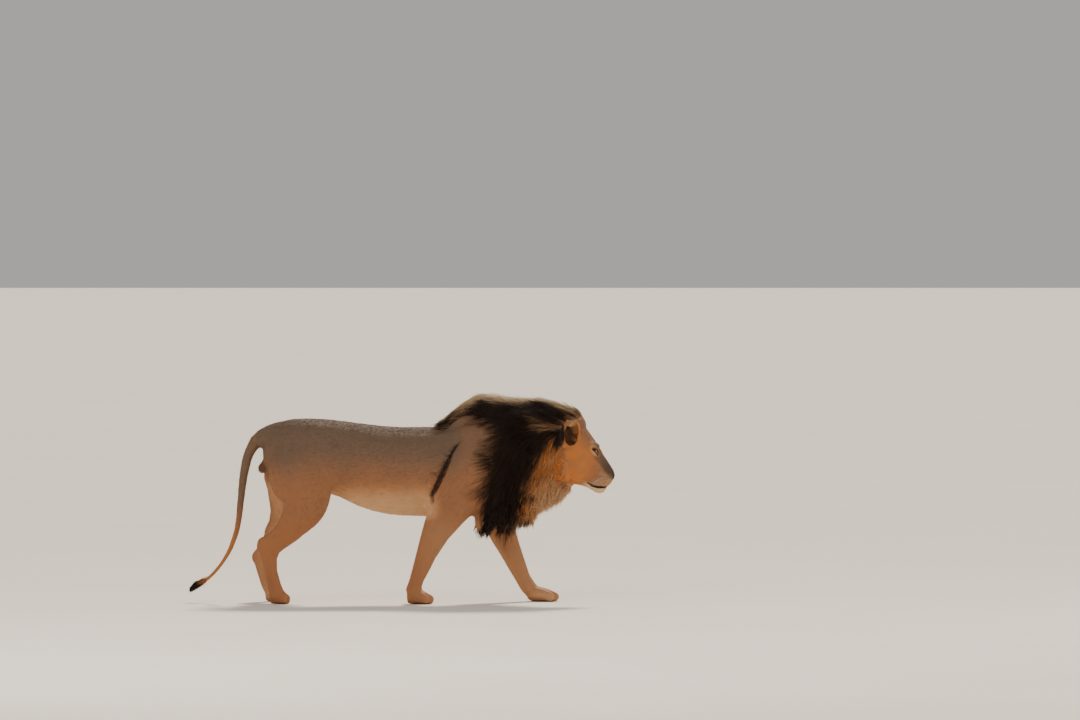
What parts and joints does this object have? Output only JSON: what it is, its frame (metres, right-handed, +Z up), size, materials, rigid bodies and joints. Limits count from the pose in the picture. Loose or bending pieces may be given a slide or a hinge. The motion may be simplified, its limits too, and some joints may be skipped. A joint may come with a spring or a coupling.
{
  "type": "lion",
  "caption": "Life-size still model of a black-maned male lion walking, tail hanging low, head level and mouth closed.",
  "frame": {"origin": "on the floor, below the centre of the lion's bounding box; the floor is Z = 0 and the paws stand on it", "axes": "+X towards the head, the way the lion walks; +Y towards the lion's own left; +Z up"},
  "size_m": [2.2568, 0.5141, 1.1132],
  "materials": {
    "coat": "short tawny fur, greyer along the back",
    "pale_coat": "short golden fur of the face and ears",
    "mane": "long dark hair",
    "nose_skin": "bare dark skin, slightly moist",
    "iris": "clear glass over an amber iris"
  },
  "bodies": {
    "root": {"chest": "coat", "shoulder_right": "coat", "belly": "coat", "hips": "coat", "foreleg_left": "coat", "foreleg_right": "coat", "forepaw_left": "coat", "forepaw_right": "coat", "thigh_left": "coat", "thigh_right": "coat", "shank_left": "coat", "shank_right": "coat", "hind_foot_left": "coat", "hind_foot_right": "coat", "hind_paw_left": "coat", "hind_paw_right": "coat", "tail_root": "coat", "tail_middle": "coat", "tail_end": "coat", "head": "pale_coat", "muzzle": "pale_coat", "lower_jaw": "pale_coat", "ear_left": "pale_coat", "ear_right": "pale_coat", "mane_front": "mane", "mane_back": "mane", "tail_tuft": "mane", "nose": "nose_skin", "eye_left": "iris", "eye_right": "iris"}
  },
  "joints": []
}
